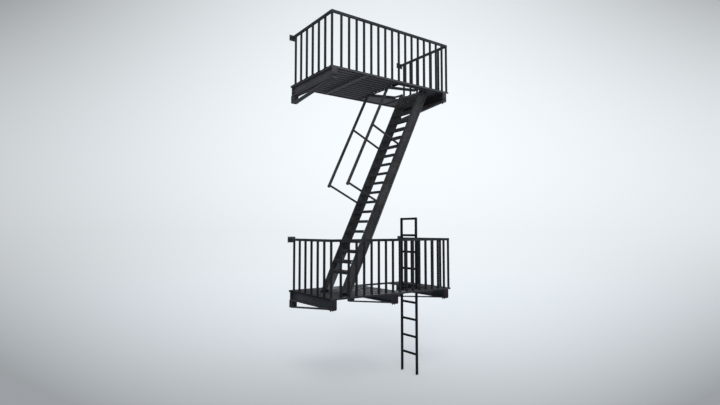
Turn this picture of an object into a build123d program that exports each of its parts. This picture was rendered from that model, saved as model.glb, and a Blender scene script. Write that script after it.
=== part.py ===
"""Fire escape: two slatted balconies on wall brackets, a steep stair and a drop ladder.

Units are millimetres. +X runs to the right along the wall, +Y points into the wall and +Z up.
The origin is on the wall face, at the centre of the lower middle wall shoe.
The stair and the ladder run along X and rise or stand between the balusters and the wall.
"""
from build123d import *
from math import cos, radians, sin, tan
import os

# ---- Overall layout -----------------------------------------------------------------------
balcony_length = 2569.0       # between the corner balusters
balcony_reach = 1362.0        # wall face to the line of the front balusters
floor_rise = 3680.0           # lower deck top to upper deck top
rail_height = 914.0           # deck top to the top of the hand rail
deck_overhang = 27.0          # deck past the baluster lines, at the front and at both ends

# ---- Wall brackets ------------------------------------------------------------------------
lower_beam_depth = 166.0
upper_beam_depth = 182.0
beam_width = 113.0
flange_thickness = 16.0
web_thickness = 7.0
end_plate_thickness = 12.0
end_plate_inset = 6.0        # each side of an end plate, in from the flanges' sides
left_beam_inset = 40.0        # corner baluster to the middle of the left beam
right_beam_inset = 81.0       # middle of the right beam to the corner baluster
middle_beam_offset = 1283.0   # left corner baluster to the middle of the lower middle beam
shoe_height = 127.0
shoe_reach = 75.0
strut_width = 82.0
strut_thickness = 20.0        # upright, on its slope
strut_toe_thickness = 10.0
strut_toe = 125.0             # the flat length under the beam's front end
anchor_spacing = 60.0         # between the two wall bolts of a shoe
anchor_hole_radius = 7.0

# ---- Decks --------------------------------------------------------------------------------
slat_width = 75.0
slat_gap = 29.6
slat_thickness = 13.0
edge_height = 30.0            # front edge angle, over its vertical leg
edge_thickness = 9.0
ledger_height = 35.0          # wall angle, over its vertical leg
ledger_thickness = 10.0
ledger_reach = 30.0           # wall face to the front of its flat leg
trimmer_height = 25.0
trimmer_thickness = 9.0
tie_width = 50.0
tie_depth = 28.0
tie_thickness = 6.0
tie_offset = 703.0            # left corner baluster to the middle of the tie under the upper slats

# ---- Openings, from the left corner baluster and from the line of the front balusters ------
ladder_opening_left = 1465.0
ladder_opening_right = 2239.0
stair_opening_left = 1460.0
stair_opening_right = 2107.0
stair_opening_back = 886.0

# ---- Railings -----------------------------------------------------------------------------
rail_depth = 43.0
rail_width = 32.0
baluster_size = 30.0
front_baluster_first = 179.4
front_baluster_pitch = 151.6
front_baluster_clearance = 100.0   # least distance from the last one to the right corner
end_baluster_first = 207.0
end_baluster_pitch = 203.2
end_baluster_clearance = 60.0      # least distance from the last one to the wall plate
wall_plate_outer = 61.0       # rail's middle line to the plate's outer side
wall_plate_inner = 86.0       # rail's middle line to the plate's inner side
wall_plate_height = 104.0
wall_plate_thickness = 14.0
wall_plate_bolt_inset = 19.0  # plate's side to the middle of a bolt

# ---- Stair --------------------------------------------------------------------------------
stair_angle = 64.17
stringer_depth = 182.0        # square to the slope
stringer_width = 35.0
stringer_web = 7.0
stringer_flange = 9.0
stair_front_offset = 137.0    # front baluster line to the front stringer's outer side
stair_clear_width = 546.0     # between the two stringers
stair_foot_offset = 254.0     # left corner baluster to the foot of the stringers' upper edge
first_tread_height = 379.0
tread_rise = 170.2
tread_count = 19
tread_depth = 196.0
tread_thickness = 7.0
tread_lip = 47.0
handrail_diameter = 51.0
handrail_offset = 654.0       # square to the slope, upper edge to the hand rail's centre
handrail_bottom_height = 1816.0
handrail_bend_drop = 97.0     # the bend below the upper deck top
handrail_bend_radius = 64.0
return_end_offset = 1906.0    # left corner baluster to the end past the bend
return_end_drop = 40.0        # that end below the upper deck top
brace_size = 28.0
middle_brace_height = 2880.0  # at the hand rail's centre
ear_rise = 50.0               # the stringers' webs above the upper deck top
ear_clearance = 4.0           # between a web's ear and the deck's cut end
cleat_height = 38.0
cleat_thickness = 10.0
cleat_length = 174.0
cleat_rise = 68.0             # over that length

# ---- Ladder -------------------------------------------------------------------------------
ladder_offset = 2001.0        # left corner baluster to the middle of the ladder's rails
ladder_front_offset = 254.0   # front baluster line to the front rail's middle
ladder_width = 407.0          # between the middles of the two rails
ladder_rail_width = 55.0
ladder_rail_thickness = 13.0
ladder_top_height = 1294.0    # above the lower deck top
ladder_drop = 1554.0          # lower deck top to the ground
rung_diameter = 42.0
rung_pitch = 309.0
rung_top_inset = 19.0         # the rails' top to the top rung's middle
lowest_rung_height = 200.0    # least height of a rung above the ground
ladder_strap_height = 40.0
ladder_strap_thickness = 8.0

# ---- Worked-out places --------------------------------------------------------------------
left_line = -middle_beam_offset
right_line = left_line + balcony_length
front_line = -balcony_reach
lower_deck = shoe_height / 2 + lower_beam_depth + slat_thickness
upper_deck = lower_deck + floor_rise
deck_left = left_line - deck_overhang
deck_right = right_line + deck_overhang
deck_front = front_line - deck_overhang
ledger_face = -ledger_thickness
ledger_front = -ledger_reach
edge_back = deck_front + edge_thickness
slat_pitch = slat_width + slat_gap
left_beam = left_line + left_beam_inset
right_beam = right_line - right_beam_inset
slope = radians(stair_angle)
stringer_run = stringer_depth / sin(slope)
stair_foot = left_line + stair_foot_offset
stair_front = front_line + stair_front_offset
stair_wall = stair_front + 2 * stringer_width + stair_clear_width
ladder_x = left_line + ladder_offset
ladder_front = front_line + ladder_front_offset
ladder_wall = ladder_front + ladder_width


def block(low, high):
    """A box between two opposite corners."""
    size = [high[i] - low[i] for i in range(3)]
    middle = [(high[i] + low[i]) / 2 for i in range(3)]
    return Pos(*middle) * Box(*size)


def write(node, *solids):
    """Write one node: one solid, or like solids that don't touch."""
    shape = solids[0] if len(solids) == 1 else Compound(children=list(solids))
    shape.label = node
    export_step(shape, f"parts/{node}.step")
    print(f"{node}: {len(solids)} solids, {sum(s.volume for s in solids) / 1e6:.2f} litres")


# ---- Wall brackets ------------------------------------------------------------------------
def beam(x, deck, depth):
    """An I-beam square to the wall under the slats, with a plate over each end.

    The front plate stands under the edge angle's upright leg and is flush with it.
    """
    top = deck - slat_thickness
    low = top - depth
    half = beam_width / 2
    body = block((x - half, edge_back, low), (x + half, ledger_face, low + flange_thickness))
    body += block((x - half, edge_back, top - flange_thickness), (x + half, ledger_face, top))
    web = web_thickness / 2
    body += block((x - web, edge_back, low), (x + web, ledger_face, top))
    half -= end_plate_inset
    body += block((x - half, deck_front, low), (x + half, edge_back, deck - edge_height))
    wall_plate_front = ledger_face - end_plate_thickness
    body += block((x - half, wall_plate_front, low), (x + half, ledger_face, top))
    return body


def shoe(x, deck, depth):
    """A short upright I-section against the wall, with two anchor holes in its wall flange."""
    top = deck - slat_thickness - depth
    half = beam_width / 2
    side_gap = (beam_width - web_thickness) / 2
    body = block((x - half, -shoe_reach, top - shoe_height), (x + half, 0, top))
    for side in (-1, 1):
        middle = x + side * (web_thickness + side_gap) / 2
        body -= block(
            (middle - side_gap / 2, -shoe_reach + flange_thickness, top - shoe_height),
            (middle + side_gap / 2, -flange_thickness, top),
        )
        hole = Cylinder(anchor_hole_radius, flange_thickness * 3, rotation=(90, 0, 0))
        body -= Pos(x + side * anchor_spacing / 2, 0, top - shoe_height / 2) * hole
    return body


def strut(x, deck, depth):
    """A flat bar from the shoe's foot up to the front of the beam, with a flat toe there."""
    beam_bottom = deck - slat_thickness - depth
    shoe_bottom = beam_bottom - shoe_height
    toe_bottom = beam_bottom - strut_toe_thickness
    toe_back = deck_front + strut_toe
    climb = (toe_bottom - shoe_bottom) / (-shoe_reach - toe_back)
    meets_beam = -shoe_reach - (shoe_height - strut_thickness) / climb
    outline = Polyline(
        (deck_front, beam_bottom),
        (meets_beam, beam_bottom),
        (-shoe_reach, shoe_bottom + strut_thickness),
        (-shoe_reach, shoe_bottom),
        (toe_back, toe_bottom),
        (deck_front, toe_bottom),
        close=True,
    )
    face = make_face(Plane.YZ * outline)
    return Pos(x - strut_width / 2, 0, 0) * extrude(face, strut_width, dir=(1, 0, 0))


# ---- Decks --------------------------------------------------------------------------------
def slat_front(index):
    """Front side of slat number index. Number 0 is the edge angle's own flat leg."""
    return deck_front + index * slat_pitch


def slat(index, left, right, deck):
    """One flat bar along the balcony."""
    front = slat_front(index)
    return block((left, front, deck - slat_thickness), (right, front + slat_width, deck))


def slat_count():
    """Number of slats between the front edge and the ledger's flat leg."""
    return int((ledger_front - deck_front - slat_width) // slat_pitch) + 1


def edge_angle(deck):
    """The front edge: a flat leg that carries the balusters and a leg down the beams' ends."""
    flat = slat(0, deck_left, deck_right, deck)
    upright = block((deck_left, deck_front, deck - edge_height), (deck_right, edge_back, deck))
    return flat + upright


def ledger(deck):
    """The wall angle: a flat leg on the beams, level with the slats, and a leg down the wall."""
    flat = block((deck_left, ledger_front, deck - slat_thickness), (deck_right, 0, deck))
    upright = block((deck_left, ledger_face, deck - ledger_height), (deck_right, 0, deck))
    return flat + upright


def trimmer_along_y(x, side, front, back, deck):
    """A bar on edge under the cut slat ends. side is the way from x that its thickness goes."""
    top = deck - slat_thickness
    ends = sorted((x, x + side * trimmer_thickness))
    return block((ends[0], front, top - trimmer_height), (ends[1], back, top))


def lower_deck_parts():
    """Slats, edge, ledger and trimmers around the ladder opening."""
    left = left_line + ladder_opening_left
    right = left_line + ladder_opening_right
    write("lower_edge_angle", edge_angle(lower_deck))
    write("lower_ledger", ledger(lower_deck))
    write("lower_front_slat", slat(1, deck_left, deck_right, lower_deck))
    numbers = range(2, slat_count())
    write("lower_left_slats", *[slat(i, deck_left, left, lower_deck) for i in numbers])
    write("lower_right_slats", *[slat(i, right, deck_right, lower_deck) for i in numbers])
    write(
        "lower_trimmers",
        trimmer_along_y(left, -1, edge_back, ledger_face, lower_deck),
        trimmer_along_y(right, 1, edge_back, ledger_face, lower_deck),
    )


def upper_deck_parts():
    """Slats, edge, ledger, trimmers and the side plate around the stair opening."""
    left = left_line + stair_opening_left
    right = left_line + stair_opening_right
    back = front_line + stair_opening_back
    under = upper_deck - slat_thickness
    write("upper_edge_angle", edge_angle(upper_deck))
    write("upper_ledger", ledger(upper_deck))
    write("upper_front_slat", slat(1, deck_left, deck_right, upper_deck))
    numbers = range(2, slat_count())
    write("upper_left_slats", *[slat(i, deck_left, left, upper_deck) for i in numbers])
    beside = [i for i in numbers if slat_front(i) + slat_width < back]
    write("upper_right_slats", *[slat(i, right, deck_right, upper_deck) for i in beside])
    write("upper_side_plate", block((left, back, under), (deck_right, ledger_front, upper_deck)))
    low = under - trimmer_height
    write(
        "upper_trimmers",
        trimmer_along_y(left, -1, edge_back, ledger_face, upper_deck),
        trimmer_along_y(right, 1, edge_back, stair_front, upper_deck),
        trimmer_along_y(
            right, 1, stair_front + stringer_width, stair_wall - stringer_width, upper_deck
        ),
        trimmer_along_y(right, 1, stair_wall, ledger_face, upper_deck),
        block((left, back, low), (right, back + trimmer_thickness, under)),
    )
    write("upper_cross_tie", cross_tie(left_line + tie_offset, under))


def cross_tie(x, under):
    """A channel across the slats' undersides, with its legs up against them."""
    half = tie_width / 2
    low = under - tie_depth
    body = block((x - half, edge_back, low), (x + half, ledger_face, low + tie_thickness))
    for side in (-1, 1):
        ends = sorted((x + side * half, x + side * (half - tie_thickness)))
        body += block((ends[0], edge_back, low), (ends[1], ledger_face, under))
    return body


# ---- Railings -----------------------------------------------------------------------------
def places(first, pitch, last):
    """Evenly spaced places from the first one to the last that fits."""
    count = int((last - first) // pitch) + 1
    return [first + i * pitch for i in range(count)]


def baluster(x, y, deck):
    """One square upright between the deck and the rail."""
    half = baluster_size / 2
    return block((x - half, y - half, deck), (x + half, y + half, deck + rail_height - rail_depth))


def wall_plate(x, inward, deck):
    """The plate that holds a rail's end to the wall, with two bolt holes.

    inward is the way from the rail to the middle of the balcony.
    """
    sides = sorted((x - inward * wall_plate_outer, x + inward * wall_plate_inner))
    middle = deck + rail_height - rail_depth / 2
    low = middle - wall_plate_height / 2
    high = low + wall_plate_height
    body = block((sides[0], -wall_plate_thickness, low), (sides[1], 0, high))
    for place in (sides[0] + wall_plate_bolt_inset, sides[1] - wall_plate_bolt_inset):
        hole = Cylinder(anchor_hole_radius, wall_plate_thickness * 3, rotation=(90, 0, 0))
        body -= Pos(place, 0, middle) * hole
    return body


def railing(level, deck):
    """Three rails, their balusters and the two wall plates of one balcony."""
    half = rail_width / 2
    low = deck + rail_height - rail_depth
    high = deck + rail_height
    front, back = front_line - half, front_line + half
    bar = block((left_line - half, front, low), (right_line + half, back, high))
    write(f"{level}_front_rail", bar)
    last = right_line - front_baluster_clearance
    xs = [left_line, *places(left_line + front_baluster_first, front_baluster_pitch, last)]
    xs.append(right_line)
    write(f"{level}_front_balusters", *[baluster(x, front_line, deck) for x in xs])
    last = -wall_plate_thickness - end_baluster_clearance
    ys = places(front_line + end_baluster_first, end_baluster_pitch, last)
    for side, x in (("left", left_line), ("right", right_line)):
        bar = block((x - half, back, low), (x + half, -wall_plate_thickness, high))
        write(f"{level}_{side}_rail", bar)
    ends = [baluster(x, y, deck) for x in (left_line, right_line) for y in ys]
    write(f"{level}_end_balusters", *ends)
    plates = [wall_plate(left_line, 1, deck), wall_plate(right_line, -1, deck)]
    write(f"{level}_rail_wall_plates", *plates)


# ---- Stair --------------------------------------------------------------------------------
def upper_edge_x(height):
    """X of the stringers' upper edge at a height above the lower deck top."""
    return stair_foot + height / tan(slope)


def stringer(y, web_side):
    """A channel on the slope, cut level at its foot and under the upper deck.

    y is the low-Y side; web_side is 0 where the web is on that side and 1 on the other.
    The web alone goes on through the stair opening as an ear, for the cleat.
    """
    top = floor_rise - slat_thickness
    outline = Polyline(
        (upper_edge_x(0), lower_deck),
        (upper_edge_x(0) + stringer_run, lower_deck),
        (upper_edge_x(top) + stringer_run, lower_deck + top),
        (upper_edge_x(top), lower_deck + top),
        close=True,
    )
    inset = stringer_flange / sin(slope)
    hollow = Polyline(
        (upper_edge_x(0) + inset, lower_deck),
        (upper_edge_x(0) + stringer_run - inset, lower_deck),
        (upper_edge_x(top) + stringer_run - inset, lower_deck + top),
        (upper_edge_x(top) + inset, lower_deck + top),
        close=True,
    )
    body = extrude(make_face(Plane.XZ * outline), stringer_width, dir=(0, 1, 0))
    cut = extrude(make_face(Plane.XZ * hollow), stringer_width - stringer_web, dir=(0, 1, 0))
    cut_start = stringer_web if web_side == 0 else 0
    ear_end = left_line + stair_opening_right - ear_clearance
    ear_top = floor_rise + ear_rise
    ear_outline = Polyline(
        (upper_edge_x(top), lower_deck + top),
        (ear_end, lower_deck + top),
        (ear_end, lower_deck + ear_top),
        (upper_edge_x(ear_top), lower_deck + ear_top),
        close=True,
    )
    ear = extrude(make_face(Plane.XZ * ear_outline), stringer_web, dir=(0, 1, 0))
    ear_start = 0 if web_side == 0 else stringer_width - stringer_web
    return Pos(0, y, 0) * (body - Pos(0, cut_start, 0) * cut + Pos(0, ear_start, 0) * ear)


def tread(number):
    """One flat tread with its front lip turned down, between the stringers' webs."""
    height = first_tread_height + number * tread_rise
    nose = upper_edge_x(height - tread_lip)
    front = stair_front + stringer_width
    back = front + stair_clear_width
    top = lower_deck + height
    plate = block((nose, front, top - tread_thickness), (nose + tread_depth, back, top))
    lip = block((nose, front, top - tread_lip), (nose + tread_thickness, back, top))
    return plate + lip


def slope_point(height, offset):
    """X and Z of a point square off the stringers' upper edge, at a height of its own."""
    return upper_edge_x(height) - offset / sin(slope), lower_deck + height


def flat_bar(start, end, width, height):
    """A bar between two points in one upright plane along X, width across that plane."""
    path = Line(start, end)
    plane = Plane(origin=start, x_dir=(0, 1, 0), z_dir=path % 0)
    return sweep(plane * Rectangle(width, height), path)


def handrail(y):
    """A hand rail up the slope, with a bend and a return that runs on to the stair's head."""
    bottom = slope_point(handrail_bottom_height, handrail_offset)
    bend = slope_point(floor_rise - handrail_bend_drop, handrail_offset)
    end = (left_line + return_end_offset, upper_deck - return_end_drop)
    points = [(x, y, z) for x, z in (bottom, bend, end)]
    path = FilletPolyline(*points, radius=handrail_bend_radius)
    return sweep(Plane(origin=path @ 0, z_dir=path % 0) * Circle(handrail_diameter / 2), path)


def braces(y, rail):
    """Two bars from the hand rail to the stringer, cut to fit the rail."""
    bars = []
    for height in (handrail_bottom_height + brace_size, middle_brace_height):
        x, z = slope_point(height, handrail_offset)
        end_x = x + handrail_offset * sin(slope)
        end_z = z - handrail_offset * cos(slope)
        bars.append(flat_bar((x, y, z), (end_x, y, end_z), brace_size, brace_size) - rail)
    return bars


def cleat(y, rail):
    """A flat bar from the return's end up to the stringer's ear, cut to fit the rail."""
    x = left_line + return_end_offset - cleat_thickness
    z = upper_deck - return_end_drop
    end = (x + cleat_thickness + cleat_length, y, z + cleat_rise)
    return flat_bar((x, y, z), end, cleat_thickness, cleat_height) - rail


def stair_parts():
    """Two stringers, the treads, and the hand rails with their braces and cleats."""
    write("stair_treads", *[tread(i) for i in range(tread_count)])
    bars = []
    cleats = []
    reach = stringer_web + cleat_thickness / 2
    front_cleat = stair_front + stringer_width - reach
    wall_cleat = stair_wall - stringer_width + reach
    sides = (
        ("front", stair_front, 1, front_cleat),
        ("wall", stair_wall - stringer_width, 0, wall_cleat),
    )
    for name, y, web_side, cleat_y in sides:
        rail = handrail(y + stringer_width / 2)
        write(f"stair_{name}_stringer", stringer(y, web_side))
        write(f"stair_{name}_handrail", rail)
        bars += braces(y + stringer_width / 2, rail)
        cleats.append(cleat(cleat_y, rail))
    write("stair_handrail_braces", *bars)
    write("stair_top_cleats", *cleats)


# ---- Ladder -------------------------------------------------------------------------------
def ladder_rail(y):
    """One flat upright of the ladder."""
    half_x = ladder_rail_width / 2
    half_y = ladder_rail_thickness / 2
    low = lower_deck - ladder_drop
    high = lower_deck + ladder_top_height
    return block((ladder_x - half_x, y - half_y, low), (ladder_x + half_x, y + half_y, high))


def ladder_parts():
    """Two rails, the rungs and the straps that hold the ladder to the trimmer."""
    write("ladder_rails", ladder_rail(ladder_front), ladder_rail(ladder_wall))
    clear = ladder_width - ladder_rail_thickness
    top = lower_deck + ladder_top_height - rung_top_inset
    low = lower_deck - ladder_drop + lowest_rung_height
    rung = Cylinder(rung_diameter / 2, clear, rotation=(90, 0, 0))
    middle = (ladder_front + ladder_wall) / 2
    count = int((top - low) // rung_pitch) + 1
    heights = [top - i * rung_pitch for i in range(count)]
    write("ladder_rungs", *[Pos(ladder_x, middle, z) * rung for z in heights])
    right = left_line + ladder_opening_right
    half = ladder_rail_thickness / 2
    strap_top = lower_deck - slat_thickness
    straps = []
    for y, side in ((ladder_front, -1), (ladder_wall, 1)):
        sides = sorted((y + side * half, y + side * (half + ladder_strap_thickness)))
        low = (ladder_x - ladder_rail_width / 2, sides[0], strap_top - ladder_strap_height)
        straps.append(block(low, (right, sides[1], strap_top)))
    write("ladder_straps", *straps)


def main():
    """Write every node."""
    os.makedirs("parts", exist_ok=True)
    outer = (("left", left_beam), ("right", right_beam))
    levels = (
        ("lower", lower_deck, lower_beam_depth, (outer[0], ("middle", 0.0), outer[1])),
        ("upper", upper_deck, upper_beam_depth, outer),
    )
    for level, deck, depth, brackets in levels:
        for side, x in brackets:
            write(f"{level}_{side}_beam", beam(x, deck, depth))
        write(f"{level}_wall_shoes", *[shoe(x, deck, depth) for side, x in brackets])
        write(f"{level}_struts", *[strut(x, deck, depth) for side, x in brackets])
        railing(level, deck)
    lower_deck_parts()
    upper_deck_parts()
    stair_parts()
    ladder_parts()


main()
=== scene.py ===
# %% [markdown]
# # A fire escape stair, dressed for its portrait
#
# The steelwork itself comes from the CAD model: two slatted balconies on wall brackets, a steep
# stair with pipe hand rails, and a drop ladder. This lesson adds what a draughtsman leaves out:
# the bolts, rivets and weld beads that hold it together, and decades of paint and rust.
# It starts with the camera and ends with a plain studio: floor, backdrop and two lamps.

# %% Load the fixed frame
import random
from math import cos, pi, radians, sin, sqrt

import bmesh
import bpy
from mathutils import Matrix, Vector


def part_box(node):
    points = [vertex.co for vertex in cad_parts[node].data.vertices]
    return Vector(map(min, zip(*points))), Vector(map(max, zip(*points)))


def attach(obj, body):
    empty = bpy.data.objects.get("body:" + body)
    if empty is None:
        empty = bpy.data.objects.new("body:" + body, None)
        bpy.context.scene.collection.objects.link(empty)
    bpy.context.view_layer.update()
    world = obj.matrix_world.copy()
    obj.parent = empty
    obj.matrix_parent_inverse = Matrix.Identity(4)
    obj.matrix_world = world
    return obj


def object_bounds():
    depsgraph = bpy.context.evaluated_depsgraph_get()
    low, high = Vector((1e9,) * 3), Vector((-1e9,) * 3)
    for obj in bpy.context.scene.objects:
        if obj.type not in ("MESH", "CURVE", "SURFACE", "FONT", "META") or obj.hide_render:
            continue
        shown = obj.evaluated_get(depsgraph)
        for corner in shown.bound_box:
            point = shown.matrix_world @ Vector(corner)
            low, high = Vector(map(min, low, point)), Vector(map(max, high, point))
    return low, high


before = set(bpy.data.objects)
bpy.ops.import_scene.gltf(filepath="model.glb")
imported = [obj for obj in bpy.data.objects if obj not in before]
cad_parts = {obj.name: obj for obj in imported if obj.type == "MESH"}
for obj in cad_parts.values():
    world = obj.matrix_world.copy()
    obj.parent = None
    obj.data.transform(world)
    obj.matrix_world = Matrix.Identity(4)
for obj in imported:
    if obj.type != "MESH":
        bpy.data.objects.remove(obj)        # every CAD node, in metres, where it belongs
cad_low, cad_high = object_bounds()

scene = bpy.context.scene
print("CAD nodes:", len(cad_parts))
print("size in metres:", [round(high - low, 3) for low, high in zip(cad_low, cad_high)])

# %% [markdown]
# ## The camera
#
# A fire escape is seen by someone who stands back and off to one side. The camera stands four
# metres to the left of the stair, a metre above the lower deck, and looks up only slightly. A
# wide lens gives the strong perspective of the two balconies. It could be aimed with a Track To
# constraint, but two angles are easier to read: a turn to the right and a small tilt up.

# %% The camera
view_turn = 35.565       # degrees to the right of straight at the wall
view_tilt = 3.457        # degrees above level
camera_data = bpy.data.cameras.new("street_view")
camera_data.sensor_width = 36.0
camera_data.lens = 23.969
camera = bpy.data.objects.new("street_view", camera_data)
camera.location = (-5.2746, -7.7146, 1.2794)
camera.rotation_euler = (radians(90 + view_tilt), 0, radians(-view_turn))
scene.collection.objects.link(camera)
scene.camera = camera
print("camera:", tuple(round(v, 2) for v in camera.location), "lens", camera_data.lens, "mm")

# %% [markdown]
# ## Where things are
#
# Bolts and welds go on parts that are there already, so their places are measured, never
# guessed. A CAD node may hold several like pieces, such as all the balusters of a front. Its
# mesh is loose triangles, so a copy is merged first and then walked from edge to edge: each
# island that this finds is one piece, and its box says where it stands.

# %% Measure the separate pieces of a node
def islands(node):
    """The box (low corner, high corner) of each separate piece in a CAD node."""
    mesh = bmesh.new()
    mesh.from_mesh(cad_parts[node].data)
    bmesh.ops.remove_doubles(mesh, verts=mesh.verts, dist=1e-5)
    waiting = set(mesh.verts)
    boxes = []
    while waiting:
        front = [waiting.pop()]
        found = []
        while front:
            vert = front.pop()
            found.append(vert.co.copy())
            for edge in vert.link_edges:
                other = edge.other_vert(vert)
                if other in waiting:
                    waiting.remove(other)
                    front.append(other)
        boxes.append([Vector([end(co[i] for co in found) for i in range(3)])
                      for end in (min, max)])
    mesh.free()
    return sorted(boxes, key=lambda box: (round(box[0].z, 3), box[0].x, box[0].y))


levels = ("lower", "upper")
beams = {
    "lower": [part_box(f"lower_{side}_beam") for side in ("left", "middle", "right")],
    "upper": [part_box(f"upper_{side}_beam") for side in ("left", "right")],
}
shoes = {level: islands(f"{level}_wall_shoes") for level in levels}
deck_top = {level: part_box(f"{level}_front_slat")[1].z for level in levels}
deck_under = {level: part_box(f"{level}_front_slat")[0].z for level in levels}
deck_front = cad_low.y
treads = islands("stair_treads")
rungs = islands("ladder_rungs")
first, last = treads[0][0], treads[-1][0]
going, rise = (last.x - first.x) / (len(treads) - 1), (last.z - first.z) / (len(treads) - 1)
slope_way = Vector((going, 0, rise)).normalized()
front_low, front_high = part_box("stair_front_stringer")
wall_low, wall_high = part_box("stair_wall_stringer")
print("treads:", len(treads), "rungs:", len(rungs), "shoes:", sum(map(len, shoes.values())))
print("going and rise in mm:", round(going * 1000), round(rise * 1000))

# %% [markdown]
# ## Arithmetic for shaders
#
# A finish is a small sum: so much paint, so much rust, less where a hand has rubbed it. Drawn as
# nodes, such sums sprawl. A class that wraps one socket and gives it + - * and / lets them be
# written as they are thought: each sign adds its Math node, and the reflected forms make 1 - mask
# work too. Colours are mixed instead, because a Math node would turn them grey.

# %% A wire that can be added and multiplied
class Wire:
    """One number or colour on its way from node to node."""

    def __init__(self, finish, socket):
        self.finish = finish
        self.socket = socket

    def math(self, operation, first, second):
        node = self.finish.node("Math", {"operation": operation}, {0: first, 1: second})
        return Wire(self.finish, node.outputs[0])

    def __add__(self, other):
        return self.math("ADD", self, other)

    def __sub__(self, other):
        return self.math("SUBTRACT", self, other)

    def __rsub__(self, other):
        return self.math("SUBTRACT", other, self)

    def __mul__(self, other):
        return self.math("MULTIPLY", self, other)

    def __truediv__(self, other):
        return self.math("DIVIDE", self, other)

    def __rtruediv__(self, other):
        return self.math("DIVIDE", other, self)

    __radd__ = __add__
    __rmul__ = __mul__


# %% A finish and its one way to add a node
class Finish:
    """A material that is built node by node."""

    def __init__(self, name):
        self.material = bpy.data.materials.new(name)
        self.material.use_nodes = True
        self.tree = self.material.node_tree
        self.shader = self.tree.nodes["Principled BSDF"]

    def feed(self, socket, value):
        if isinstance(value, Wire):
            self.tree.links.new(value.socket, socket)
        else:
            socket.default_value = value

    def set(self, name, value):
        """Give one of the shader's own sockets a value or a link."""
        self.feed(self.shader.inputs[name], value)

    def node(self, kind, settings=None, sockets=None):
        """A new node: its settings first, then the values or links of its sockets."""
        made = self.tree.nodes.new("ShaderNode" + kind)
        for name, value in (settings or {}).items():
            setattr(made, name, value)
        for name, value in (sockets or {}).items():
            self.feed(made.inputs[name], value)
        return made

    def wire(self, node, output=0):
        return Wire(self, node.outputs[output])

    def place(self, stretch=(1, 1, 1)):
        """Object coordinates, with a pattern's size along each axis."""
        here = self.wire(self.node("TexCoord"), "Object")
        if stretch == (1, 1, 1):
            return here
        return self.move("MULTIPLY", here, stretch)

    def noise(self, scale, detail, roughness, stretch=(1, 1, 1)):
        sockets = {"Vector": self.place(stretch), "Scale": scale,
                   "Detail": detail, "Roughness": roughness}
        return self.wire(self.node("TexNoise", None, sockets))

    def ramp(self, value, start, end):
        """0 up to start, 1 from end, and smooth between."""
        sockets = {"Value": value, "From Min": start, "From Max": end}
        settings = {"interpolation_type": "SMOOTHSTEP"}
        return self.wire(self.node("MapRange", settings, sockets))

    def blend(self, share, under, over, mode="MIX"):
        """The colour over laid on the colour under, by share."""
        settings = {"data_type": "RGBA", "blend_type": mode}
        node = self.node("Mix", settings, {0: share, 6: under, 7: over})
        return self.wire(node, 2)

    def axis(self, vector, name):
        """One part of a vector: X, Y or Z."""
        return self.wire(self.node("SeparateXYZ", None, {0: vector}), name)

    def along(self, name, start, end):
        """0 before a place on one axis of the object, 1 past another."""
        return self.ramp(self.axis(self.place(), name), start, end)

    def between(self, name, rise, fall):
        """1 between two places on an axis. Each is a pair: where its soft edge starts and ends."""
        return self.along(name, *rise) * (1.0 - self.along(name, *fall))

    def pick(self, operation, *values):
        """A Math node that Python has no sign for, such as FLOOR or MAXIMUM."""
        return self.wire(self.node("Math", {"operation": operation}, dict(enumerate(values))))

    def measure(self, operation, first, second):
        """The number that a Vector Math node gives for two vectors, such as their DISTANCE."""
        node = self.node("VectorMath", {"operation": operation}, {0: first, 1: second})
        return self.wire(node, "Value")

    def move(self, operation, *vectors):
        """The vector that a Vector Math node gives."""
        node = self.node("VectorMath", {"operation": operation}, dict(enumerate(vectors)))
        return self.wire(node)


def shade(red, green, blue):
    """A colour as a screen shows it, 0 to 255, turned into light as Blender counts it."""
    parts = [value / 255 for value in (red, green, blue)]
    return (*[p / 12.92 if p < 0.04045 else ((p + 0.055) / 1.055) ** 2.4 for p in parts], 1)


# %% [markdown]
# ## Paint that has been outdoors for decades
# * corners, where little light reaches, are darkened as painted shade, partly also dust that
#   gathers there.
#
# Outdoor steelwork is brushed with thick dark paint over red primer. Weather then works on it in
# ways that a shader can copy one at a time:
#
# * sun and rain chalk the paint in clouds, so it fades unevenly;
# * what faces up and what faces down each get a colour of their own: partly dust on top and smoke
#   stains below, partly painted light and shade;
# * dirt settles on what faces up, and soot stays under what faces down;
# * edges lose their paint first, and show primer and rust;
# * rust starts as specks, spreads to scabs, and lifts the paint around it.
#
# Each is a mask from 0 to 1, made from noise on the object's own coordinates, so the pattern
# stays on the steel. The edge mask comes from a Bevel node: it bends the normal near an edge, and
# the bend is the mask. One function makes every paint here, and each part of the stair gives it
# its own colours and amounts.

# %% Masks that every paint shares
def edge_mask(paint, reach):
    """1 along sharp edges and 0 on open faces."""
    bent = paint.wire(paint.node("Bevel", {"samples": 4}, {"Radius": reach}))
    flat = paint.wire(paint.node("NewGeometry"), "Normal")
    return paint.ramp(1.0 - paint.measure("DOT_PRODUCT", bent, flat), 0.004, 0.12)


def facing(paint):
    """Masks for faces that look up, down and sideways."""
    normal = paint.wire(paint.node("NewGeometry"), "Normal")
    height = paint.axis(normal, "Z")
    up = paint.ramp(height, 0.35, 0.9)
    down = paint.ramp(0.0 - height, 0.35, 0.9)
    return up, down, 1.0 - up - down


# Painted shade: ambient occlusion darkens the paint in corners and hollows, partly also dust that
# gathers there.
def corner_shade_and_dirt(paint, reach):
    """1 in corners that open air hardly reaches."""
    occlusion = paint.node("AmbientOcclusion", {"samples": 4}, {"Distance": reach})
    return 1.0 - paint.wire(occlusion, "AO")


print("masks: edges, facing, corners")

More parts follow.
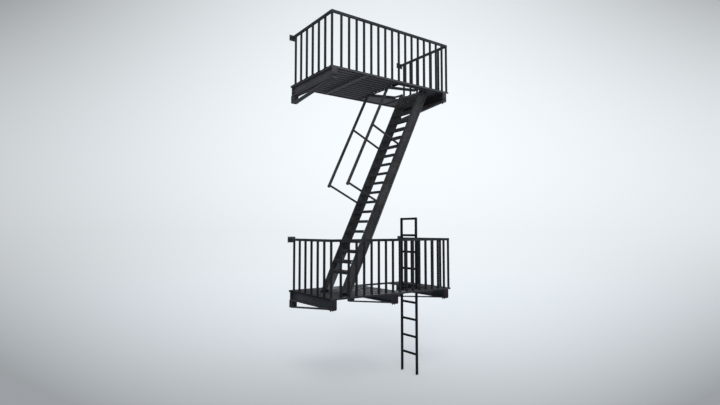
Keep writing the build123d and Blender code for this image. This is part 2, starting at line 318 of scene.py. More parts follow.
# %% The paint itself
primer_run, primer = shade(74, 47, 36), shade(70, 48, 40)
rust_dark, rust_bright = shade(52, 28, 20), shade(118, 66, 38)
bare_dark, bare_bright = shade(72, 50, 42), shade(96, 93, 88)
# the dark colour of the painted shade in corners and hollows
shade_and_soot = shade(16, 15, 16)
mottle_dark, mottle_bright = (0.30, 0.30, 0.31, 1), (0.70, 0.70, 0.69, 1)
paling_heights = (0.3, 4.3)       # the paint is paler, more and more, between these heights
upper_paling = 0.6                 # and the upper deck is paler by this share more
edge_reach, shade_reach, worn_radius = 0.005, 0.06, 0.0015


def weathered_paint(name, fresh, faded, top, under, chalk, rust, wear, gloss, coarse=1.0,
                    corner_shade_and_grime=0.4, mottled=0.6, extra=None):
    """A brushed outdoor paint.

    fresh, faded, top and under are colours from 0 to 255; chalk, rust, wear, gloss, grime and
    mottled are amounts from 0 to 1; coarse above 1 makes a finer pattern, for small parts.
    extra, if there is one, gets the paint and its colour and gives back a changed colour.
    """
    paint = Finish(name)
    fresh, faded, top, under = [shade(*colour) for colour in (fresh, faded, top, under)]
    up, down, side = facing(paint)
    clouds = paint.ramp(paint.noise(1.7 * coarse, 6.0, 0.62), 0.36, 0.66)
    mottle = paint.noise(23.0 * coarse, 5.0, 0.6)
    grain = paint.noise(210.0, 3.0, 0.6)
    streaks = paint.ramp(paint.noise(1.0, 5.0, 0.6, (30, 30, 1.6)), 0.5, 0.78) * side
    edges = edge_mask(paint, edge_reach)
    shade_and_dirt = corner_shade_and_dirt(paint, shade_reach)

    # The more rust or wear, the lower the noise has to be to show it.
    rust_shift, wear_shift = 0.14 * rust, 0.3 * wear
    specks = paint.noise(8.5 * coarse, 9.0, 0.68)
    scabs = paint.ramp(specks + 0.16 * edges * mottle, 0.72 - rust_shift, 0.79 - rust_shift)
    halo = paint.ramp(specks + 0.1 * edges, 0.6 - rust_shift, 0.8 - rust_shift)
    chips = paint.ramp(edges * (0.35 + mottle), 0.72 - wear_shift, 0.86 - wear_shift)

    # the paint grows paler higher up
    height_share = paint.along("Z", *paling_heights)
    share = paint.ramp(clouds * chalk + height_share * upper_paling, 0.0, 1.0)
    colour = paint.blend(share, fresh, faded)
    # faces that look up take the top colour and those that look down the under colour: partly dust
    # and smoke stains, partly painted light and shade
    colour = paint.blend(up * (0.35 + 0.65 * mottle), colour, top)
    colour = paint.blend(down * (0.45 + 0.5 * mottle), colour, under)
    tone = paint.blend(paint.ramp(mottle, 0.25, 0.8), mottle_dark, mottle_bright)
    colour = paint.blend(mottled, colour, tone, "OVERLAY")
    colour = paint.blend(streaks * 0.45 * chalk, colour, faded)
    runs = paint.ramp(paint.noise(1.0, 4.0, 0.6, (46, 46, 2.2)), 0.56, 0.74) * side
    colour = paint.blend(runs * 0.55 * rust, colour, primer_run)
    if extra:
        colour = extra(paint, colour)
    colour = paint.blend(halo * 0.5 * rust, colour, primer)
    rusty = paint.blend(paint.ramp(grain + mottle, 0.7, 1.3), rust_dark, rust_bright)
    colour = paint.blend(scabs, colour, rusty)
    bare = paint.blend(mottle, bare_dark, bare_bright)
    colour = paint.blend(chips * 0.7, colour, bare)
    # painted shade in corners and hollows, partly also dust that gathers there
    colour = paint.blend(shade_and_dirt * corner_shade_and_grime, colour, shade_and_soot)
    paint.set("Base Color", colour)

    rough = (1.0 - gloss) + 0.18 * mottle + 0.22 * scabs + 0.1 * up - 0.12 * chips
    paint.set("Roughness", paint.ramp(rough, 0.0, 1.0))
    paint.set("Metallic", chips * 0.35)
    paint.set("Specular IOR Level", 0.1)

    height = 0.35 * mottle + 0.3 * grain - 0.5 * chips + 0.9 * scabs * grain + 0.25 * streaks
    sockets = {"Strength": 0.45, "Distance": 0.0016, "Height": height}
    sockets["Normal"] = paint.wire(paint.node("Bevel", {"samples": 4}, {"Radius": worn_radius}))
    paint.set("Normal", paint.wire(paint.node("Bump", None, sockets)))
    print(name, "-", len(paint.tree.nodes), "nodes")
    return paint.material


# %% [markdown]
# ## Stains on a coat
#
# The sides of a part have aged apart: the cut end of a slat is black, a trodden slat is pale.
# Such places are laid over the coat as stains, each a mask that says where, an amount and a
# colour. They could be painted by hand on an image, which is freer, but masks are measured in
# metres from the parts themselves, so they move with a part that changes and stay sharp from
# close by. A mask is a product of simple ones: between two heights, and facing down, and not on
# the front.

# %% Lay stains over a colour
def lay_stains(paint, colour, stains):
    """The colour with stains over it, each a mask, an amount and a colour."""
    for mask, amount, stain in stains:
        colour = paint.blend(mask * amount, colour, shade(*stain))
    return colour


def up_to(place, soft):
    """A pair of places for a mask that starts soft before a face and is full at it."""
    return place - soft, place


print("stains ready")

# %% [markdown]
# ## The rails' coat and the ladder's
#
# Rails and ladder are handled and repainted. The ladder is nearly black. The rails are slate grey,
# darker on the uprights and the end rails, up high as painted shade, and dusty on the plates at
# the wall.

# %% Finishes of the rails and the ladder
def rail_shade_and_dust(paint, colour):
    """Darker uprights and end rails, up high as painted shade, and dusty plates at the wall."""
    end_rails = paint.along("Y", deck_front + 0.045, deck_front + 0.060)
    low_rail, high_rail = [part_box(f"{level}_front_rail")[0].z for level in levels]
    low_uprights = 1.0 - paint.along("Z", *up_to(low_rail, 0.004))
    uprights = 1.0 - paint.along("Z", *up_to(high_rail, 0.004))
    upper = paint.along("Z", *up_to(deck_top["upper"], 0.2))
    wall_plates = paint.along("Y", -0.020, -0.0145)
    return lay_stains(paint, colour, [
        # painted shade on the upper uprights and end rails, whose sides get less light
        (paint.pick("MAXIMUM", end_rails, uprights) * upper, 0.65, (24, 31, 36)),
        (low_uprights, 0.5, (20, 23, 28)),
        (wall_plates, 0.75, (80, 84, 89)),
    ])


rail_paint = weathered_paint(
    "rail_paint",
    (25, 29, 33), (56, 61, 65), (45, 49, 53), (20, 22, 26),
    chalk=0.5, rust=0.1, wear=0.1, gloss=0.42, extra=rail_shade_and_dust,
)
ladder_paint = weathered_paint(
    "ladder_paint",
    (10, 13, 17), (22, 26, 31), (34, 38, 42), (10, 12, 15),
    chalk=0.45, rust=0.2, wear=0.5, gloss=0.42,
)

# %% [markdown]
# ## The decks' coat
#
# Each slat came from its own bar and has its own tone, which White Noise gives from the slat's
# number. Between the stair's foot and the ladder the lower deck is trodden to pale steel.
# Underneath, the slats are grey, and on the upper deck lighter as painted light from the street.
# The slats' sides and cut ends are painted black as shade, except where light from the openings
# falls on them, which is painted light, and rust washes from the stair's two feet.

# %% Finish of the decks
def hairline(place):
    """A pair of places for a mask that is full a millimetre before a face."""
    return place - 0.002, place - 0.001


def side_plate_share(paint):
    """1 on the plate beside the stair's opening and 0 elsewhere."""
    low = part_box("upper_side_plate")[0]
    over = paint.along("Z", low.z - 0.001, low.z - 0.0005)
    share = over * paint.along("Y", *up_to(low.y, 0.001))
    return share * paint.along("X", *up_to(low.x, 0.001))


def foot_rust(paint):
    """1 around each foot of the stair, broken up by noise."""
    stain = 0.0
    for spot in foot_spots:
        away = paint.measure("DISTANCE", paint.place(), spot)
        stain = stain + (1.0 - paint.ramp(away, 0.02, 0.22))
    return paint.ramp(stain * (0.4 + paint.noise(14.0, 6.0, 0.7)), 0.25, 0.9)


def deck_stains_shade_and_light(paint, colour):
    """A tone for each slat, trodden steel, painted shade on the slats' sides and cut ends, painted
    light below and where the openings light them, and rust from the stair's feet.
    """
    here = paint.place()
    slat = paint.pick("FLOOR", (paint.axis(here, "Y") - deck_front) / slat_pitch)
    level = paint.pick("FLOOR", paint.axis(here, "Z"))
    own = paint.node("TexWhiteNoise", {"noise_dimensions": "1D"}, {"W": slat + 17.0 * level})
    tone = paint.blend(paint.wire(own), (0.42, 0.42, 0.42, 1), (0.58, 0.58, 0.58, 1))
    colour = paint.blend(0.7, colour, tone, "OVERLAY")

    up, down, side = facing(paint)
    upper = paint.along("Z", deck_top["upper"] - 0.5, deck_top["upper"] - 0.1)
    lower = 1.0 - paint.along("Z", deck_top["lower"], deck_top["lower"] + 0.5)
    patchy = paint.ramp(paint.noise(9.0, 6.0, 0.7), 0.38, 0.6)
    walked = paint.between("X", (-0.85, -0.55), (0.1, 0.35)) * patchy
    plate = side_plate_share(paint)
    west = 1.0 - paint.along("X", -1.0, -0.55)
    east = paint.along("X", -0.75, -0.3) * (1.0 - plate)
    inside = paint.along("Y", deck_front + 0.002, deck_front + 0.008)
    left_ends = 1.0 - paint.along("X", cad_low.x + 0.034, cad_low.x + 0.036)
    past_ladder = paint.along("X", *hairline(ladder_side)) * (1.0 - upper)
    cut_here = (opening_right + 0.010, opening_right + 0.012)
    cut_ends = paint.between("X", hairline(opening_right), cut_here) * upper
    behind_stair = paint.along("Y", wall_high.y, wall_high.y + 0.01)
    front_face = side * (1.0 - inside) * upper
    lip = paint.along("Z", deck_top["upper"] - 0.010, deck_top["upper"] - 0.008)
    return lay_stains(paint, colour, [
        (walked * up * lower, 0.9, (158, 163, 168)),
        # painted light: the upper deck's undersides are lighter, as from light off the street
        (down * west * upper, 0.7, (100, 100, 103)),
        (down * east * upper, 0.75, (80, 80, 83)),
        (down * plate, 0.75, (96, 94, 97)),
        # painted shade: the slats' sides between slats and their left and cut ends are near black
        (side * inside, 0.95, (9, 9, 11)),
        (side * left_ends, 0.9, (8, 12, 14)),
        # painted light on the slats' sides past the ladder, from its opening
        (side * inside * past_ladder, 0.7, (84, 83, 88)),
        (cut_ends * (1.0 - behind_stair), 0.85, (12, 12, 14)),
        # painted light on the cut ends behind the stair, from its opening
        (cut_ends * behind_stair * side, 0.8, (88, 87, 90)),
        (front_face * lip, 0.7, (36, 38, 40)),
        (front_face * (1.0 - lip), 0.7, (86, 89, 91)),
        (foot_rust(paint), 0.6, (48, 50, 42)),
    ])


opening_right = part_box("upper_right_slats")[0].x
ladder_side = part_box("lower_right_slats")[0].x
slats = islands("lower_left_slats")
slat_pitch = slats[1][0].y - slats[0][0].y
foot_spots = [(low.x + 0.08, low.y, low.z) for low in (front_low, wall_low)]
deck_steel = weathered_paint(
    "deck_steel",
    (44, 45, 50), (62, 64, 66), (88, 89, 91), (58, 58, 61),
    chalk=0.7, rust=0.25, wear=0.12, gloss=0.3, mottled=0.9, extra=deck_stains_shade_and_light,
)

# %% [markdown]
# ## The brackets' coat
#
# The brackets are charcoal and chalky inside, where they stay dry. Their front ends are wet with
# every rain and are darker, with a little rust. The upper right one is in the shade of the stair
# and is nearly black. Light comes up through the ladder's opening to the lower right one, and
# off the street to all that faces down above.

# %% Finish of the brackets
def damp_ends_shade_and_light(paint, colour):
    """Dark front ends, painted shade on the upper right beam and some edges, and painted light
    where light comes up or falls on the cross tie.
    """
    up, down, side = facing(paint)
    left_beam, right_beam = beams["upper"]
    front = 1.0 - paint.along("Y", deck_front, deck_front + 0.05)
    low = 1.0 - paint.along("Z", deck_top["lower"], deck_top["upper"] - 0.5)
    high = 1.0 - low
    patchy = paint.ramp(paint.noise(7.0, 7.0, 0.7), 0.42, 0.62)
    plate_rim = paint.along("X", left_beam[1].x - 0.040, left_beam[1].x - 0.034)
    middle = paint.between("X", (-0.10, -0.08), (0.08, 0.10)) * low
    right = paint.along("X", right_beam[0].x - 0.1, right_beam[0].x - 0.05)
    shaded = right * high * side * (1.0 - front)
    rust_patch = paint.between("Y", (-1.2, -1.1), (-0.75, -0.6)) * patchy
    plate = front * right * high
    plate_edge = 1.0 - paint.along("X", right_beam[0].x + 0.024, right_beam[0].x + 0.030)
    by_wall = paint.along("Y", -1.1, -0.9) * right * low
    rim_top = beams["lower"][0][1].z
    rim = paint.along("Z", rim_top - 0.017, rim_top - 0.016) * low * side
    rim = rim * (1.0 - paint.along("X", left_beam[0].x + 0.001, left_beam[0].x + 0.002))
    tie_left, tie_right = [corner.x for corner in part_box("upper_cross_tie")]
    tie = paint.between("X", up_to(tie_left, 0.004), (tie_right, tie_right + 0.004)) * high
    web_foot = left_beam[0].z
    dark_web_band = paint.between("Z", (web_foot + 0.0165, web_foot + 0.0175),
                          (web_foot + 0.056, web_foot + 0.070))
    return lay_stains(paint, colour, [
        (front * low * (0.95 - 0.25 * patchy), 1.0, (29, 29, 34)),
        (plate_rim * front * low, 0.5, (38, 28, 36)),
        (middle * (1.0 - front), 0.6, (88, 91, 102)),
        (shaded, 0.85, (20, 19, 21)),
        (shaded * rust_patch, 0.7, (66, 42, 40)),
        # painted shade: the upper right beam's end plate, darkest at its left edge
        (plate * plate_edge, 0.85, (16, 16, 18)),
        (plate * (1.0 - plate_edge), 0.5, (56, 60, 66)),
        (down * high, 0.5, (72, 73, 78)),
        (by_wall * side, 0.75, (106, 104, 112)),
        # painted shade along the top rim of the lower left beam
        (rim, 0.85, (14, 14, 17)),
        # painted light on the cross tie's underside and sides
        (down * tie, 0.7, (92, 93, 96)),
        (side * tie * (1.0 - front), 0.75, (104, 105, 108)),
        # a darker band on the web just above the lower flange
        (dark_web_band * side, 0.7, (26, 26, 30)),
        (front * patchy, 0.2, (52, 44, 50)),
    ])


bracket_paint = weathered_paint(
    "bracket_paint",
    (47, 51, 57), (82, 83, 86), (56, 57, 60), (38, 38, 42),
    chalk=0.5, rust=0.35, wear=0.4, gloss=0.32, corner_shade_and_grime=0.25, extra=damp_ends_shade_and_light,
)

# %% [markdown]
# ## The stair's coat, the treads' and the bolts'
#
# Inside a channel the lower flange's inner face looks up to the sky, and is painted lighter all
# the way up a slope, as painted light. No axis of the object follows that slope, so one is made:
# the distance across the channel is a sum of X and Z, each by its share of the slope's direction.

# %% Finishes of the stair and its bolts
def lit_flanges_and_chalk(paint, colour):
    """Painted light on the channels' lower flanges, and chalky paint low on both of them."""
    here = paint.place()
    across = slope_way.z * paint.axis(here, "X") - slope_way.x * paint.axis(here, "Z")
    across = across - (slope_way.z * front_low.x - slope_way.x * front_low.z)
    normal = paint.wire(paint.node("NewGeometry"), "Normal")
    lit_ledge = paint.ramp(paint.axis(normal, "Z"), 0.2, 0.4) * paint.ramp(across, 0.15, 0.165)
    chalky = (1.0 - paint.along("Z", 0.9, 1.5)) * (1.0 - paint.along("Y", -1.1, -1.0))
    speckle = paint.ramp(paint.noise(38.0, 3.0, 0.75), 0.45, 0.58)
    washed = (1.0 - paint.along("Z", 0.75, 0.95)) * paint.along("Y", -0.9, -0.8)
    upper_flange = 1.0 - paint.ramp(across, 0.009, 0.012)
    return lay_stains(paint, colour, [
        # painted light on the lower flange's inner face, which looks up to the sky
        (lit_ledge, 0.8, (104, 106, 108)),
        (chalky, 0.5, (80, 81, 84)),
        (speckle, 0.2, (92, 95, 98)),
        (washed * paint.ramp(across, 0.075, 0.09), 0.75, (124, 127, 132)),
        (upper_flange, 0.25, (14, 15, 17)),
    ])


stair_paint = weathered_paint(
    "stair_paint",
    (38, 40, 42), (62, 62, 62), (58, 62, 65), (32, 34, 37),
    chalk=0.7, rust=0.4, wear=0.4, gloss=0.3, corner_shade_and_grime=0.25, extra=lit_flanges_and_chalk,
)
tread_paint = weathered_paint(
    "tread_paint",
    (32, 34, 38), (50, 52, 54), (72, 70, 67), (26, 27, 30),
    chalk=0.6, rust=0.4, wear=0.7, gloss=0.3,
)
black_bolt = weathered_paint(
    "bolt_steel",
    (18, 18, 20), (34, 33, 33), (30, 30, 30), (16, 16, 18),
    chalk=0.5, rust=0.2, wear=0.4, gloss=0.35, coarse=3.0,
)

# %% [markdown]
# ## Paint the CAD nodes
#
# Each CAD node came in with a plain material in its slot. Its shape is right and stays, so only
# the material is changed, and the slot's name says for which.

# %% Paint the CAD nodes
finish_of = {
    "bracket_paint": bracket_paint, "deck_steel": deck_steel, "rail_paint": rail_paint,
    "stair_paint": stair_paint, "treads": tread_paint, "ladder_paint": ladder_paint,
}
painted = dict.fromkeys(finish_of, 0)
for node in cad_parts.values():
    for slot in node.material_slots:
        kind = slot.material.name.split(".")[0]
        if kind in finish_of:
            slot.material = finish_of[kind]
            painted[kind] += 1
print("painted:", painted)

# %% [markdown]
# ## A bench for small parts
#
# Bolts, rivets and beads are all made the same way: shape one in a bmesh of its own at the
# origin, pointing up, then turn it, set it down and drop it in a tray. They could be objects of
# their own, but a tray becomes one mesh, as the shoes' bolts are one line on a parts list.
# Shaping each in a small bmesh is also much quicker than in one that grows.

# %% Shape, set down and keep
def set_down(part, at, facing_to, tray):
    """Turn a part from +Z to another direction, move it to its place and drop it in a tray."""
    turn = Vector((0, 0, 1)).rotation_difference(Vector(facing_to)).to_matrix()
    bmesh.ops.rotate(part, verts=part.verts, cent=(0, 0, 0), matrix=turn)
    bmesh.ops.translate(part, verts=part.verts, vec=at)
    bmesh.ops.recalc_face_normals(part, faces=part.faces)
    shaped = bpy.data.meshes.new("part")
    part.to_mesh(shaped)
    part.free()
    tray.append(shaped)


def keep(name, tray, slot, finish=None):
    """Join a tray of parts into one piece, in its slot's finish or in one of its own."""
    whole = bmesh.new()
    for shaped in tray:
        whole.from_mesh(shaped)
        bpy.data.meshes.remove(shaped)
    data = bpy.data.meshes.new(name)
    whole.to_mesh(data)
    whole.free()
    data.materials.append(finish or finish_of[slot])
    piece = bpy.data.objects.new(name, data)
    scene.collection.objects.link(piece)
    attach(piece, "root")
    print(name, "-", len(tray), "parts,", len(data.polygons), "faces")


def lathe(tray, profile, at, facing_to, steps=12):
    """A turned shape: a profile of (radius, height) points, spun about its axis."""
    part = bmesh.new()
    verts = [part.verts.new((radius, 0, height)) for radius, height in profile]
    edges = [part.edges.new(pair) for pair in zip(verts, verts[1:])]
    bmesh.ops.spin(
        part, geom=verts + edges, cent=(0, 0, 0), axis=(0, 0, 1), dvec=(0, 0, 0),
        angle=2 * pi, steps=steps, use_merge=True, use_normal_flip=False, use_duplicate=False,
    )
    bmesh.ops.remove_doubles(part, verts=part.verts, dist=1e-6)
    set_down(part, at, facing_to, tray)


print("bench ready")

# %% [markdown]
# ## Nuts, washers and rivets
#
# A nut is a six-sided prism whose outer corners are turned off. A plain cylinder with six sides
# would do from afar, but the turned corners catch the light, so its outer rim is bevelled. The
# stud's thread is a zigzag profile spun on the lathe, and a rivet's head a low dome, also spun.
# Each stud is a little uneven in length, as fitters leave them.

# %% One nut on its washer, and one rivet head
chance = random.Random(1871)
washer_thick = 0.0025
thread_pitch = 0.002


def nut(tray, at, facing_to, across=0.019, stud=0.012):
    """A washer, a hexagon nut and the threaded end of a stud."""
    rim = across * 0.92
    lathe(tray, [(0, 0), (rim, 0), (rim, washer_thick * 0.7), (rim - 0.0008, washer_thick),
                 (0, washer_thick)], at, facing_to, 18)
    part = bmesh.new()
    corner_radius = across / sqrt(3)
    thick = across * 0.75
    middle = washer_thick + thick / 2
    bmesh.ops.create_cone(
        part, cap_ends=True, segments=6, radius1=corner_radius, radius2=corner_radius, depth=thick,
    )
    bmesh.ops.translate(part, verts=part.verts, vec=(0, 0, middle))
    turned = Matrix.Rotation(chance.uniform(0, pi / 3), 3, "Z")
    bmesh.ops.rotate(part, verts=part.verts, cent=(0, 0, 0), matrix=turned)
    rims = [edge for edge in part.edges if min(v.co.z for v in edge.verts) > middle]
    bmesh.ops.bevel(
        part, geom=rims, offset=across * 0.07, offset_type="OFFSET",
        affect="EDGES", segments=1, profile=0.5, material=-1,
    )
    set_down(part, at, facing_to, tray)
    crest = across * 0.3
    top = washer_thick + thick
    profile = [(0, washer_thick), (crest, washer_thick)]
    for turn in range(max(2, int(stud * chance.uniform(0.8, 1.15) / thread_pitch))):
        profile.append((crest * 0.86, top + (turn + 0.5) * thread_pitch))
        profile.append((crest, top + (turn + 1.0) * thread_pitch))
    profile.append((crest * 0.75, profile[-1][1] + 0.001))
    profile.append((0, profile[-1][1]))
    lathe(tray, profile, at, facing_to, 10)


def rivet(tray, at, facing_to, radius=0.010, height=0.006):
    """A domed rivet head."""
    dome = [(radius * cos(step * pi / 8), height * sin(step * pi / 8)) for step in range(4)]
    lathe(tray, [(0, 0), *dome, (0, height)], at, facing_to, 12)


print("hardware: nut, rivet")

# %% [markdown]
# ## Weld beads
#
# Where two steels meet in a corner, a welder lays a bead: a rounded ridge with a ripple for each
# movement of the hand. A smooth tube would read as caulking, so the bead is turned on the lathe,
# with six sides and a profile that swells and pinches in turn.

# %% One weld bead along a line
def bead(tray, start, end, radius=0.005, ripple=0.008):
    """A rippled bead between two points."""
    start, end = Vector(start), Vector(end)
    way = end - start
    count = max(3, int(way.length / ripple))
    profile = [(0, 0), (radius * 0.5, 0)]
    for number in range(1, count):
        swell = (0.82, 1.14)[number % 2] * chance.uniform(0.93, 1.07)
        profile.append((radius * swell, way.length * number / count))
    profile += [(radius * 0.5, way.length), (0, way.length)]
    lathe(tray, profile, start, way.normalized(), 6)


def bead_round(tray, low, high, z, radius):
    """Four beads round an upright bar's foot or head."""
    corners = [(low.x, low.y), (high.x, low.y), (high.x, high.y), (low.x, high.y)]
    for here, there in zip(corners, corners[1:] + corners[:1]):
        bead(tray, (*here, z), (*there, z), radius)


print("weld beads ready")

# %% [markdown]
# ## Anchor bolts of the wall shoes
#
# Each bracket hangs on a shoe that two bolts hold to the wall, one each side of its web. The
# shoe's holes are in its wall flange, so the nuts sit in the hollow of the section, where a
# spanner just reaches. The plates at the rails' ends are bolted to the wall in the same way.

# %% Anchor bolts of the shoes
wall_flange = 0.016
anchor_spread = 0.030
tray = []
for level in levels:
    for low, high in shoes[level]:
        middle = (low + high) / 2
        for side in (-1, 1):
            at = (middle.x + side * anchor_spread, -wall_flange, middle.z)
            nut(tray, at, (0, -1, 0), across=0.022, stud=0.016)
keep("shoe_anchor_bolts", tray, "bracket_paint", black_bolt)

# %% Bolts of the rail plates at the wall
plate_inset = 0.019
tray = []
for level in levels:
    for low, high in islands(f"{level}_rail_wall_plates"):
        for x in (low.x + plate_inset, high.x - plate_inset):
            nut(tray, (x, low.y, (low.z + high.z) / 2), (0, -1, 0), across=0.019, stud=0.010)
keep("rail_plate_bolts", tray, "rail_paint", black_bolt)

# %% [markdown]
# ## Rivets of the decks
#
# The slats are riveted to the brackets' top flanges, one rivet each side of the web, with a head
# above the slat and another below the flange. The slats' and the beams' boxes say where they
# cross. A rivet is left out where an upright stands in its way.

# %% Rivets where the slats cross the beams
beam_flange = 0.016
rivet_spread = 0.030
rivet_radius = 0.010
uprights = []
for level in levels:
    uprights += islands(f"{level}_front_balusters") + islands(f"{level}_end_balusters")


def clear_of_uprights(x, y, z, room=0.016):
    """True where no baluster stands within room of a place on a deck."""
    for low, high in uprights:
        if abs(low.z - z) < 0.05 and low.x - room < x < high.x + room:
            if low.y - room < y < high.y + room:
                return False
    return True


tray = []
for level in levels:
    top = deck_top[level]
    rows = [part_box(f"{level}_front_slat")]
    rows += islands(f"{level}_left_slats") + islands(f"{level}_right_slats")
    for beam_low, beam_high in beams[level]:
        middle_x = (beam_low.x + beam_high.x) / 2
        flange_under = deck_under[level] - beam_flange
        for low, high in rows:
            for side in (-1, 1):
                x = middle_x + side * rivet_spread
                y = (low.y + high.y) / 2
                if not low.x < x < high.x:
                    continue
                if clear_of_uprights(x, y, top):
                    rivet(tray, (x, y, top), (0, 0, 1), rivet_radius, 0.0055)
                rivet(tray, (x, y, flange_under), (0, 0, -1), rivet_radius, 0.006)
keep("deck_rivets", tray, "deck_steel")

# %% [markdown]
# ## Feet of the balusters
#
# The front balusters are welded to the edge angle. Those at the ends would stand half over the
# gaps between slats, so each has a small pad under it that bridges the gap. The pad is a plate
# with its edges eased; a square block without them would look cut from card.

# %% Welds round the balusters, and pads under those at the ends
def plate(tray, low, high, ease=0.0012):
    """A flat plate between two corners, with eased edges."""
    low, high = Vector(low), Vector(high)
    part = bmesh.new()
    bmesh.ops.create_cube(part, size=1.0)
    bmesh.ops.scale(part, verts=part.verts, vec=high - low)
    bmesh.ops.bevel(
        part, geom=part.edges[:], offset=ease, offset_type="OFFSET", affect="EDGES",
        segments=2, profile=0.5, material=-1,
    )
    set_down(part, (low + high) / 2, (0, 0, 1), tray)


thin_bead, foot_bead = 0.0038, 0.0042
pad_thick = 0.005
pad_room = Vector((0.007, 0.014, 0))
tray = []
pads = []
for level in levels:
    top = deck_top[level]
    rail_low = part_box(f"{level}_front_rail")[0].z
    for low, high in islands(f"{level}_front_balusters"):
        bead_round(tray, low, high, top, foot_bead)
        bead_round(tray, low, high, rail_low, thin_bead)
    for low, high in islands(f"{level}_end_balusters"):
        foot = Vector((0, 0, top - low.z))
        plate(pads, low + foot - pad_room, (*(high + pad_room).xy, top + pad_thick))
        bead_round(tray, low, high, top + pad_thick, thin_bead)
        bead_round(tray, low, high, rail_low, thin_bead)
keep("baluster_welds", tray, "rail_paint")
keep("baluster_pads", pads, "rail_paint")

# %% [markdown]
# ## Welds of the brackets
#
# A bracket carries its load through three joints: the strut's toe under the beam, the strut's
# heel on the shoe, and the shoe under the beam. Each has a heavy bead, and a lighter one joins
# the beam's web to the plates that close its ends. Two bolts hold the strut's toe as well.

# %% Welds of the brackets
beam_half, strut_half, web_half = 0.0565, 0.041, 0.0035
heavy_bead, light_bead = 0.006, 0.005
toe_from, toe_to, toe_bolt = [deck_front + reach for reach in (0.012, 0.125, 0.07)]
tray = []
for level in levels:
    for (beam_low, beam_high), (shoe_low, _) in zip(beams[level], shoes[level]):
        middle_x = (beam_low.x + beam_high.x) / 2
        under = beam_low.z
        web_foot, web_head = under + beam_flange, beam_high.z - 0.046
        for side in (-1, 1):
            flank = middle_x + side * beam_half
            bead(tray, (flank, shoe_low.y, under), (flank, -0.012, under), heavy_bead)
            toe_x = middle_x + side * strut_half
            bead(tray, (toe_x, toe_from, under), (toe_x, toe_to, under), heavy_bead)
            web_x = middle_x + side * web_half
            for y in (beam_low.y + 0.009, beam_high.y - 0.012):
                bead(tray, (web_x, y, web_foot), (web_x, y, web_head), light_bead)
        heel = (shoe_low.y, shoe_low.z + 0.020)
        bead(tray, (middle_x - strut_half, *heel), (middle_x + strut_half, *heel), heavy_bead)
keep("bracket_welds", tray, "bracket_paint")

# %% Bolts through the struts' toes
toe_thick = 0.010
toe_spread = 0.022
tray = []
for level in levels:
    for beam_low, beam_high in beams[level]:
        middle_x = (beam_low.x + beam_high.x) / 2
        for side in (-1, 1):
            at = (middle_x + side * toe_spread, toe_bolt, beam_low.z - toe_thick)
            nut(tray, at, (0, 0, -1), across=0.019, stud=0.008)
keep("strut_toe_bolts", tray, "bracket_paint")

# %% [markdown]
# ## The stair's treads
#
# A tread hangs between the two channels on a short angle at each end, welded under the tread and
# riveted through the channel's web. The rivets' heads show in the hollow of the front channel,
# so they are worth making one by one. The treads' own ends say where the webs stand.

# %% Clips and rivets of the treads
web_thick, tread_thick = 0.007, 0.007
clip_leg, clip_thick = 0.032, 0.004
clip_rivet = (0.009, 0.005)
clips = []
heads = []
for low, high in treads:
    under = high.z - tread_thick
    here, there = low.x + 0.022, high.x - 0.018
    for face, inward in ((low.y, 1), (high.y, -1)):
        leg = sorted((face, face + inward * clip_thick))
        shelf = sorted((face + inward * clip_thick, face + inward * clip_leg))
        plate(clips, (here, leg[0], under - clip_leg), (there, leg[1], under))
        plate(clips, (here, shelf[0], under - clip_thick), (there, shelf[1], under))
        z = under - clip_leg * 0.55
        for x in (here + 0.026, there - 0.026):
            rivet(heads, (x, face - inward * web_thick, z), (0, -inward, 0), *clip_rivet)
            rivet(heads, (x, face + inward * clip_thick, z), (0, inward, 0), *clip_rivet)
keep("tread_clips", clips, "stair_paint")
keep("tread_rivets", heads, "stair_paint")

# %% [markdown]
# ## The stair's feet and head
#
# At its foot each channel stands on the deck beside a heavy angle with two bolts through the web.
# The front channel's angle sits in its hollow. The wall channel's is on its inner side and has two
# more bolts down through the slats. All are black. At its head a flat bar lies along the channel's
# web just under the deck, with two bolts through it and one below.

# %% Angles and bolts at the feet
angle_thick = 0.006
front_leg, wall_leg, standing_leg = 0.026, 0.045, 0.045
bolt_inset = 0.032
clips = []
bolts = []
base = front_low.z
here, there = front_low.x + 0.022, front_low.x + 0.150
for web_face, reach in ((front_high.y - web_thick, front_leg), (wall_low.y, wall_leg)):
    leg_face = web_face - angle_thick
    plate(clips, (here, leg_face, base), (there, web_face, base + standing_leg))
    plate(clips, (here, web_face - reach, base), (there, leg_face, base + angle_thick))
    for x in (here + bolt_inset, there - bolt_inset):
        nut(bolts, (x, leg_face, base + 0.030), (0, -1, 0), across=0.016, stud=0.004)
    if reach > front_leg:
        for x in (here + bolt_inset, there - bolt_inset):
            at = (x, web_face - 0.027, base + angle_thick)
            nut(bolts, at, (0, 0, 1), across=0.016, stud=0.008)
keep("stair_foot_angles", clips, "stair_paint", black_bolt)

# %% Bars and bolts at the head
bar_thick = 0.008
head_bolts = ((0.045, 0.024), (0.125, 0.028))        # along the bar, and below the slats
bars = []
head = deck_under["upper"]
edge_x = first.x + (head - first.z) * going / rise
for web_face, side in ((front_high.y - web_thick, -1), (wall_low.y + web_thick, 1)):
    face = web_face + side * bar_thick
    ends = sorted((web_face, face))
    plate(bars, (edge_x + 0.004, ends[0], head - 0.046), (edge_x + 0.168, ends[1], head - 0.006))
    for along, down in head_bolts:
        nut(bolts, (edge_x + along, face, head - down), (0, side, 0), across=0.019, stud=0.007)
    at = (edge_x + head_bolts[0][0], web_face, head - 0.085)
    nut(bolts, at, (0, side, 0), across=0.019, stud=0.007)
keep("stair_head_bars", bars, "stair_paint")

# %% [markdown]
# ## The hand rails
#
# The rails are steel pipe. Their open ends are closed with a pressed cap, the braces are welded
# to the channels with a bead on each side, and at the head a short cleat with two bolts joins
# each pipe's return to the channel's ear.

